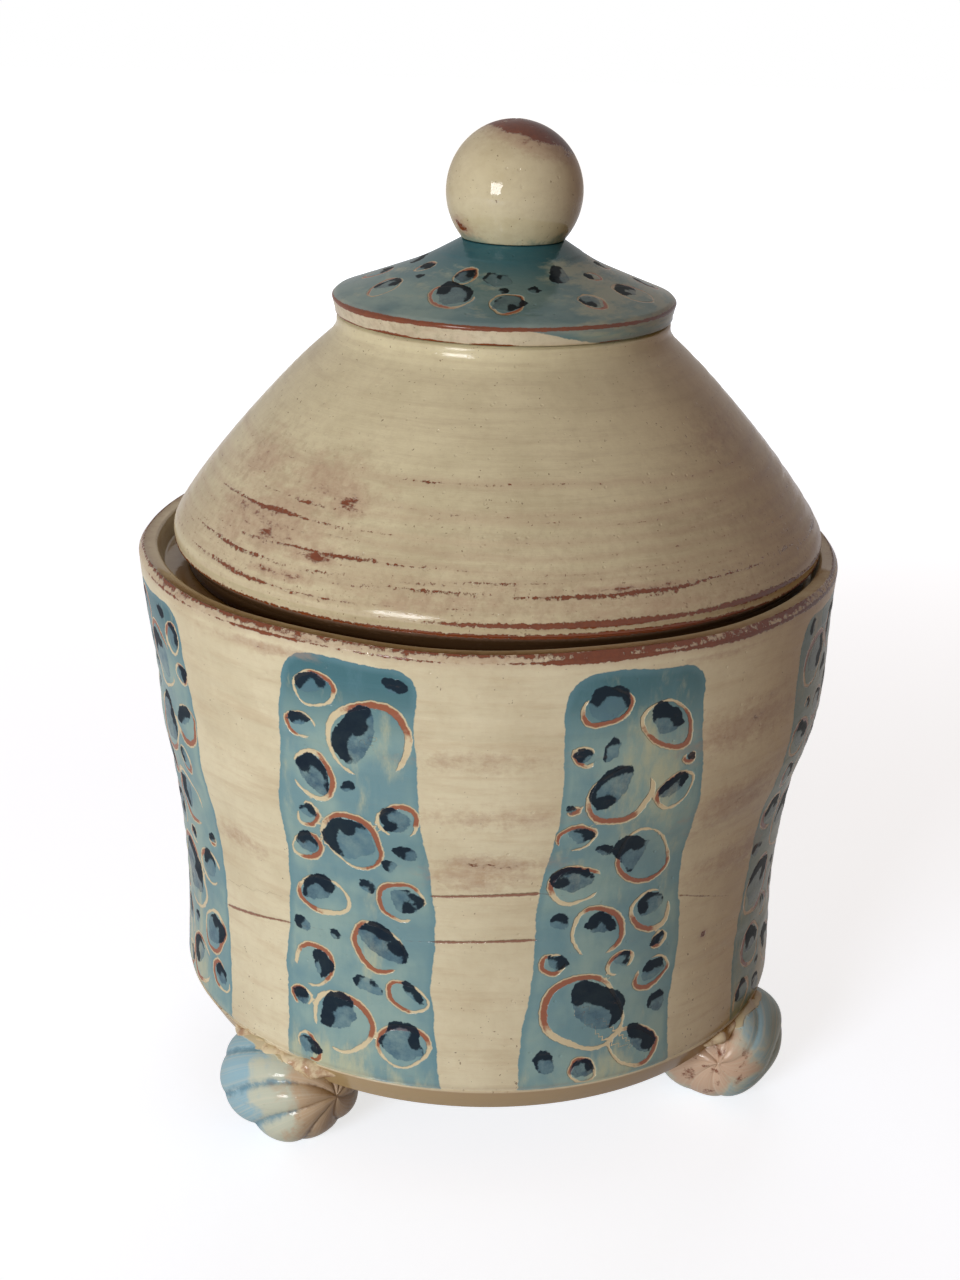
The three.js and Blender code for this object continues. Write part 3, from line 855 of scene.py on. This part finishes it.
domeShape = {
    # heights of the dome and the collar are above the lid's edge
    "dome": [(lidEdgeRadius, 2.8), (91.3, 6.4), (84.3, 17.0), (72.3, 32.0), (58.6, 47.0), (48.0, 57.0)],
    "collar": (46.4, 59.5, 62.0),   # its waist, and where the waist starts and ends
    "ring": (88.8, 83.8),           # outside and inside of the ring that sits on the ledge
    "thickness": 6.5,
    "crownThickness": 7.7,
    "columns": 480,
    "spacing": 0.7,                 # between the dome's rows of points
    "insideSpacing": 9.0,
    "ridge": 0.06,
}
# The seat colour is painted shade: a dark brown on the lid's ring under its edge, where the gap above the
# jar's rim lies in shadow
domeLook = {
    "light": "#d2ccac", "deep": "#c5be9e", "streak": "#9c896e", "streakShow": 0.26, "streakSquash": 14,
    "grainShow": 0.12, "shadedSeat": "#46321f",
}

# Rubbed places on the dome, as on the wall, above the lid's edge
domeRubs = [
    (-33, 14.5, 6, 2.4, 0.66), (-29, 26, 5, 3.4, 0.7), (-44, 16, 9, 2.4, 0.62), (-55, 20, 9, 2.4, 0.58),
    (-38, 8.5, 9, 1.8, 0.6), (-46, 18, 20, 10.0, 0.54), (-36, 30, 14, 7.0, 0.46), (-58, 30, 12, 8.0, 0.46),
    (24, 6, 36, 4.0, 0.4), (22, 10.6, 16, 1.2, 0.55), (-10, 8, 20, 4.0, 0.38), (118, 22, 16, 5.0, 0.5),
    (205, 9, 24, 2.5, 0.5), (-120, 18, 14, 4.0, 0.5), (90, 6, 30, 3.0, 0.4), (170, 30, 14, 5.0, 0.4),
    (60, 38, 14, 5.0, 0.3), (0, 22, 30, 6.0, 0.14), (48, 22, 20, 5.0, 0.2), (4, 9, 60, 7.0, 0.29),
    (184, 9, 60, 7.0, 0.36),
]
# Lines scratched round it: mm above the edge, degrees round, half length in degrees, weight in mm
domeLines = [
    (10.4, 26, 32, 0.42), (11.0, -46, 16, 0.55), (14.5, -29, 15, 0.55), (21.0, -47, 18, 0.5),
    (25.0, -40, 8, 0.3), (6.2, -45, 22, 0.4), (33.0, -12, 16, 0.2), (13.0, -2, 10, 0.2),
    (10.0, 100, 30, 0.45), (18.0, 150, 24, 0.4), (9.0, 210, 28, 0.5), (27.0, 250, 20, 0.35),
]


def domeProfile():
    s = domeShape
    dome = throughStations([(r, h + lidEdgeLevel) for r, h in s["dome"]])
    crown = domeBox[1][2]
    ceiling = crown - s["crownThickness"]
    ringFoot = domeBox[0][2]
    ringOut, ringIn = s["ring"]
    hollow = innerFace(dome, s["thickness"])
    level = hollow[:, 1]
    hollow = hollow[(hollow[:, 0] < ringIn) & (level < ceiling) & (level > lidEdgeLevel)][::-7]
    inside = outline([
        (4.0, ceiling), (hollow[0][0] * 0.7, ceiling, 4.0), *hollow, (ringIn, ringFoot, 1.0),
        (ringOut, ringFoot, 1.0), (ringOut, crestLevel - 2, 0.8), (lidEdgeRadius - 0.7, lidEdgeLevel, 0.35),
    ], s["insideSpacing"])
    rows = evenly(dome, s["spacing"])
    band = outline([
        (lidEdgeRadius - 0.35, lidEdgeLevel + 0.3), (lidEdgeRadius - 0.45, lidEdgeLevel + 1.4, 0.6),
        (lidEdgeRadius, lidEdgeLevel + 2.8, 0.35), rows[1],
    ], 0.5)
    waist, waistStart, waistEnd = s["collar"]
    over = outline([
        *rows[2:-1], (*dome[-1], 1.5), (waist, lidEdgeLevel + waistStart, 1.2),
        (waist, lidEdgeLevel + waistEnd, 0.5), (waist - 1.2, crown, 0.4), (4.0, crown),
    ], 2 * s["spacing"])
    return np.vstack([inside, band, over])


# Where the slip is worn to red: two lines on the edge band's corners, the lower one whole and the
# upper one dashed on the left, and the lines scratched round the dome
def domeWear(azimuth, radius, above):
    right = np.sin(azimuth)
    aside = soften(0.45, 0.85, right)
    lower = (0.5 + 0.4 * soften(-0.4, 0.4, right) - 0.4 * aside + 0.12 * wander(azimuth, 0, 55, 9)
             - np.hypot(radius - lidEdgeRadius + 0.5, above - 0.3))
    upper = (-0.35 + soften(-0.35, 0.2, right) - 0.55 * aside + 0.4 * wander(azimuth, 0, 56, 15)
             - np.hypot(radius - lidEdgeRadius, (above - 3.4) * 0.8))
    wear = np.maximum(np.maximum(lower, upper), wellOutside)
    for k, (level, where, spread, weight) in enumerate(domeLines):
        line = level + 0.9 * wander(azimuth, 0, 160 + k, 6) + 0.25 * wander(azimuth, 0, 180 + k, 30)
        uneven = 1 + 0.7 * wander(azimuth, 0, 200 + k, 24)
        half = weight * humpRound(azimuth, where, spread) * uneven - 0.12
        wear = np.maximum(wear, np.where(above > 4, half - np.abs(above - line), wellOutside))
    return wear


def lidDome():
    s = domeShape
    profile = domeProfile()
    radius, height = profile[:, :1], profile[:, 1:]
    azimuth = allRound(s["columns"])
    above = height - lidEdgeLevel
    onDome = soften(3, 8, above) * (1 - soften(50, 57, above))
    rings = throwingRings(azimuth, height, (4.6, 2.1), (40, 25), 0.7, 51)
    swelled = radius + onDome * (s["ridge"] * rings + 0.22 * wander(azimuth, height, 53, 3, 60))
    lifted = height + 0.15 * wander(azimuth, 0, 54, 6) * (radius > 80)
    points = carriedRound(swelled, lifted, azimuth, lidShift)
    patchy = 0.7 + 0.3 * wander(azimuth, above, 57, 5, 40)
    fields = {
        "wear": domeWear(azimuth, radius, above),
        "rubShare": rubbedPlaces(azimuth, above, domeRubs, 220),
        "speckShare": 0.3 + 0.35 * soften(20, 4, above) * patchy,
        # the ring under the lid's edge, which is painted dark as the shade in the gap above the rim
        "seatShadeShare": (radius > s["ring"][1] + 0.5) & (above < 0.2),
    }
    ends = [(lidShift, 0, profile[k][1]) for k in (0, -1)]
    dome = ringMesh("lid_dome_glazed", points, *ends, fields)

    material, tree = newMaterial("slipped earthenware, brushed and clear glazed")
    ground, streak, place = slipGround(tree, domeLook)
    # Painted shade: the ring under the lid's edge goes dark brown, standing for the shadow in the gap above
    # the rim
    shadedSeat = blend(tree, field(tree, "seatShadeShare"), ground, domeLook["shadedSeat"])
    worn, bareMask = wornThrough(tree, shadedSeat, place, raggedSize=1.3, raggedDepth=0.6)
    glazeOver(tree, worn, place, [(streak, 0.14), (bareMask, -0.12)])
    dome.data.materials.append(material)
    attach(dome, "lid")
    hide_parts("lid_dome")


capShape = {
    "edge": (47.9, 4.6, 1.2),       # radius, height over the crevice, undercut
    "slope": [(46.7, 5.8), (34.0, 10.6), (24.3, 14.6), (14.3, 20.3)],
    "columns": 384,
    "spotRows": [(37.0, 6.3, 12), (27.0, 4.0, 12)],     # how far out, size and number of each row's spots
    "smallSpots": [2.6, 2.4, 2.4, 2.2, 2.2, 2.0, 2.0],  # their sizes, and between which radii they lie
    "smallSpotsAt": (29.0, 34.0),
}
capLook = {
    "light": "#d6d0ba", "deep": "#c8c1a8", "streak": "#9a9478", "streakShow": 0.4, "streakSquash": 8,
    "grainShow": 0.2, "brushSquash": (1, 1, 5), "blue": "#5c8086", "blueLight": "#7f9b98", "teal": "#31626e",
    "tealFrom": capBox[0][2] + 13, "tealTo": capBox[0][2] + 22, "combed": "#476e76", "thin": "#9aa796",
    "thinShow": 0.85, "cut": "#b9ac8b", "dab": "#234050", "dabPale": "#55737c", "dark": "#08121c",
}
knobLean = (knobBox[0][0] + knobBox[1][0]) / 2 - lidShift


# The cap's spots in two rows and small ones between: azimuth, place along the slope, size
def capSpots():
    rng = np.random.default_rng(73)
    spots = []
    for out, size, count in capShape["spotRows"]:
        for k in range(count):
            azimuth = fullTurn * (k + rng.uniform(-0.22, 0.22)) / count
            spots.append((azimuth, -out + rng.uniform(-1.6, 1.6), size * rng.uniform(0.8, 1.1)))
    near, far = capShape["smallSpotsAt"]
    for size in capShape["smallSpots"]:
        spots.append((rng.uniform(0, fullTurn), -rng.uniform(near, far), size))
    return spots


def lidCap():
    s = capShape
    foot = capBox[0][2]
    edgeRadius, edgeRise, undercut = s["edge"]
    edgeLevel = foot + edgeRise
    slope = throughStations([(r, h + foot) for r, h in s["slope"]])
    under = outline([
        (3.0, foot), (edgeRadius - undercut, foot, 0.5), (edgeRadius, edgeLevel, 0.45),
        (*slope[0], 0.6), slope[2],
    ], 0.6)
    topLevel = slope[-1][1]
    top = outline([*slope[3:], (slope[-1][0] - 0.4, topLevel + 0.05), (3.0, topLevel)], 0.7)
    profile = np.vstack([under, top])
    radius, height = profile[:, :1], profile[:, 1:]
    azimuth = allRound(s["columns"])
    uneven = (radius > 20) * (height > foot + 1)
    swelled = radius - 0.25 * uneven * (1 + wander(azimuth, height, 71, 5, 50)) / 2
    lifted = height + 0.18 * uneven * wander(azimuth, 0, 72, 6)
    points = carriedRound(swelled, lifted, azimuth, lidShift)
    points[..., 0] += knobLean * np.clip((height - edgeLevel) / (topLevel - edgeLevel), 0, 1)

    shape = (len(radius), s["columns"])
    fields = unpainted(shape)
    paintSpots(fields, azimuth, radius, -radius, capSpots(), 74, weight=0.72)
    onTop = (height > edgeLevel + 0.6) & (radius > 15.5)
    for name, value in noSpots.items():
        fields[name] = np.where(onTop, fields[name], value)
    right = np.sin(azimuth)
    reach = 6.0 * soften(-0.1, 0.6, np.sin(azimuth - 0.1)) + 0.5 * wander(azimuth, 0, 75, 6)
    fields["band"] = np.where(height > edgeLevel, 4.0, height - edgeLevel + reach - 0.8) * np.ones(shape)
    line = 0.62 + 0.2 * wander(azimuth, 0, 76, 9) - np.hypot(radius - edgeRadius, (height - edgeLevel) * 0.9)
    crevice = (0.05 + 0.3 * soften(0.3, -0.5, right) + 0.4 * wander(azimuth, 0, 77, 24)
               - np.hypot(radius - edgeRadius + undercut, height - foot - 0.2))
    fields["wear"] = np.maximum(np.maximum(line, crevice), wellOutside) * np.ones(shape)
    fields["rubShare"] = 0.32 * (height < edgeLevel) * soften(0.3, -0.4, right) * np.ones(shape)
    fields["speckShare"] = 0.3
    thinRight = soften(-0.05, 0.55, np.sin(azimuth - 0.15)) * 1.1 * soften(17, 24, radius)
    fields["thinShare"] = thinRight - 0.3 * soften(26, 18, radius)
    ends = (lidShift, 0, foot), (lidShift + knobLean, 0, profile[-1][1])
    cap = ringMesh("lid_cap_glazed", points, *ends, fields)

    material, tree = newMaterial("teal slip brushed on earthenware, clear glazed")
    ground, streak, place = slipGround(tree, capLook)
    painted, ringMask, dabMask, darkMask = paintedOver(tree, ground, place, capLook)
    worn, bareMask = wornThrough(tree, painted, place, raggedSize=2.0, raggedDepth=0.28, blush=0.35)
    glazeOver(tree, worn, place, [(ringMask, -0.14), (dabMask, 0.05), (streak, 0.15)], dry=darkMask)
    cap.data.materials.append(material)
    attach(cap, "lid")
    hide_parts("lid_cap")


knobShape = {"radius": 18.9, "halfHeight": 19.2, "cutRadius": 14.3, "rows": 110, "columns": 200}
knobLook = {
    "light": "#d0c9ab", "deep": "#c3ba98", "streak": "#a8997a", "streakShow": 0.3, "streakSquash": 3,
    "grainShow": 0.15, "neck": "#6d8a80",
}


# A ball cut flat where it sits on the neck, a little uneven all over
def lidKnob():
    s = knobShape
    knobX = lidShift + knobLean
    cut = math.asin(s["cutRadius"] / s["radius"])
    down = np.linspace(np.pi - cut, 0.03, s["rows"])[:, None]
    azimuth = allRound(s["columns"])
    foot, crown = knobBox[0][2], knobBox[1][2]
    centre = crown - s["halfHeight"]
    uneven = 1 - 0.005 * (1.6 + wander(azimuth, down * 20, 81, 3, 60))
    flatter = 1 - 0.003 * (2 + wander(azimuth, 0, 82, 3))
    radius = s["radius"] * np.sin(down) * uneven
    height = centre + s["halfHeight"] * np.cos(down) * flatter + 0 * azimuth
    bottom = outline([(2.0, foot), (s["cutRadius"] - 0.3, foot)], 3.0)
    radius = np.vstack([bottom[:, :1] + 0 * azimuth, radius])
    height = np.vstack([bottom[:, 1:] + 0 * azimuth, height])
    points = carriedRound(radius, height, azimuth, knobX)
    up = (height - centre) / s["halfHeight"]
    rightward = points[..., 0] - lidShift - knobLean
    frontward = -points[..., 1]
    top = 0.76 * soften(0.5, 0.95, up + 0.016 * rightward)
    low = 0.72 * hump(np.hypot(rightward + 14.2, frontward - 9.0), 5.0) * hump(up + 0.47, 0.17)
    fields = {
        "rubShare": np.maximum(top, low), "wear": wellOutside, "speckShare": 0.35,
        "neck": (-up - 0.6) * 14 + 1.0 * wander(azimuth, 0, 83, 6),
    }
    knob = ringMesh("lid_knob_glazed", points, (knobX, 0, foot), (knobX, 0, crown - 0.15), fields)

    material, tree = newMaterial("slip-dipped earthenware knob, clear glazed")
    ground, streak, place = slipGround(tree, knobLook)
    edge = maths(tree, "MULTIPLY_ADD", noise(tree, place, 4, 5, 0.65), 7.0, field(tree, "neck"))
    washed = blend(tree, eased(tree, edge, 2.6, 4.6, 0.7), ground, knobLook["neck"])
    worn, bareMask = wornThrough(tree, washed, place)
    glazeOver(tree, worn, place, [(streak, 0.12), (bareMask, -0.08)])
    knob.data.materials.append(material)
    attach(knob, "lid")
    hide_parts("lid_knob")


# Stage, light and camera

studio = {
    "floorSize": 8.0, "floorNear": 0.72, "floorFar": 1.0,   # how much the floor glows of itself, near and far
    "glowSpan": (0.2, 1.3),     # metres from the jar over which it goes from near to far
    "roomColour": "#b9824a", "roomStrength": 0.32,
    "bounceColour": "#a89468", "floorColour": "#ccd9ee",
}
lights = {
    "window": {"power": 16.0, "size": (0.5, 0.55), "place": (-0.85, -1.43, 0.5), "glossy": True},
    "soft_wall": {"power": 7.0, "size": (1.3, 0.9), "place": (-1.1, -1.25, 0.3), "glossy": False},
    "back_wall": {"power": 9.0, "size": (1.2, 0.9), "place": (0.1, 1.6, 0.75), "glossy": False},
}
lightsTarget = (0, 0, 0.13)

# The photograph's viewpoint, fitted to the jar's own ellipses: a 54 mm lens about half a metre away
viewpoint = {"distance": 0.5328, "height": 0.3237, "pitch": 20.32, "yaw": -0.18, "roll": 1.54, "lens": 54.08}


def framed(place, right, up, ahead):
    matrix = Matrix.Identity(4)
    for row in range(3):
        matrix[row][:] = right[row], up[row], -ahead[row], place[row]
    return matrix


def pointedAt(target, place):
    ahead = np.array(target, float) - np.array(place, float)
    ahead /= np.linalg.norm(ahead)
    right = np.cross(ahead, (0, 0, 1))
    right /= np.linalg.norm(right)
    return framed(place, right, np.cross(right, ahead), ahead)


def seenDirectly(tree):  # 1 for rays from the camera, and for those mirrored or passed on by gloss and glass
    path = addNode(tree, "LightPath")
    either = maths(tree, "MAXIMUM", path.outputs["Is Camera Ray"], path.outputs["Is Glossy Ray"])
    return maths(tree, "MAXIMUM", either, path.outputs["Is Transmission Ray"])


def setStage():
    size = studio["floorSize"] / 2
    mesh = bpy.data.meshes.new("pale_floor")
    corners = [(-size, -size, 0), (size, -size, 0), (size, size, 0), (-size, size, 0)]
    mesh.from_pydata(corners, [], [(0, 1, 2, 3)])
    floor = bpy.data.objects.new("pale_floor", mesh)
    bpy.context.scene.collection.objects.link(floor)
    material, tree = newMaterial("pale painted board")
    place = addNode(tree, "TexCoord").outputs["Object"]
    away = addNode(tree, "VectorMath", {0: place}, operation="LENGTH").outputs["Value"]
    glow = eased(tree, away, *studio["glowSpan"], studio["floorFar"], studio["floorNear"])
    matt = addNode(tree, "BsdfDiffuse", {"Color": studio["bounceColour"]})
    shown = addNode(tree, "BsdfDiffuse", {"Color": studio["floorColour"]})
    lit = addNode(tree, "Emission", {"Color": "#ffffff", "Strength": glow})
    lifted = addNode(tree, "AddShader", {0: shown, 1: lit})
    surface = addNode(tree, "MixShader", {0: seenDirectly(tree), 1: matt, 2: lifted})
    addNode(tree, "OutputMaterial", {"Surface": surface})
    mesh.materials.append(material)

    world = bpy.data.worlds.new("white studio")
    world.use_nodes = True
    tree = world.node_tree
    tree.nodes.clear()
    room = addNode(tree, "Background", {"Color": studio["roomColour"], "Strength": studio["roomStrength"]})
    white = addNode(tree, "Background", {"Color": "#ffffff", "Strength": 1.0})
    sky = addNode(tree, "MixShader", {0: seenDirectly(tree), 1: room, 2: white})
    addNode(tree, "OutputWorld", {"Surface": sky})
    bpy.context.scene.world = world


def setLights():
    for name, light in lights.items():
        lamp = bpy.data.lights.new(name, "AREA")
        lamp.energy = light["power"]
        lamp.shape = "RECTANGLE"
        lamp.size, lamp.size_y = light["size"]
        holder = bpy.data.objects.new(name, lamp)
        holder.matrix_world = pointedAt(lightsTarget, light["place"])
        holder.visible_glossy = light["glossy"]
        bpy.context.scene.collection.objects.link(holder)


def setCamera():
    v = viewpoint
    yaw, pitch, roll = (math.radians(v[key]) for key in ("yaw", "pitch", "roll"))
    ahead = np.array([math.sin(yaw) * math.cos(pitch), math.cos(yaw) * math.cos(pitch), -math.sin(pitch)])
    level = np.array([math.cos(yaw), -math.sin(yaw), 0.0])
    upright = np.cross(level, ahead)
    right = math.cos(roll) * level + math.sin(roll) * upright
    up = math.cos(roll) * upright - math.sin(roll) * level
    lens = bpy.data.cameras.new("photo_view")
    lens.lens = v["lens"]
    lens.sensor_width = 36.0
    lens.clip_start = 0.01
    camera = bpy.data.objects.new("photo_view", lens)
    camera.matrix_world = framed((0, -v["distance"], v["height"]), right, up, ahead)
    bpy.context.scene.collection.objects.link(camera)
    bpy.context.scene.camera = camera


setCamera()
setStage()
setLights()
bpy.context.scene.view_settings.view_transform = "Standard"
print("stage, lights and camera set")
jarWall()
print("jar wall painted")
jarFeet()
print("feet pressed on")
lidDome()
lidCap()
lidKnob()
print("lid built")
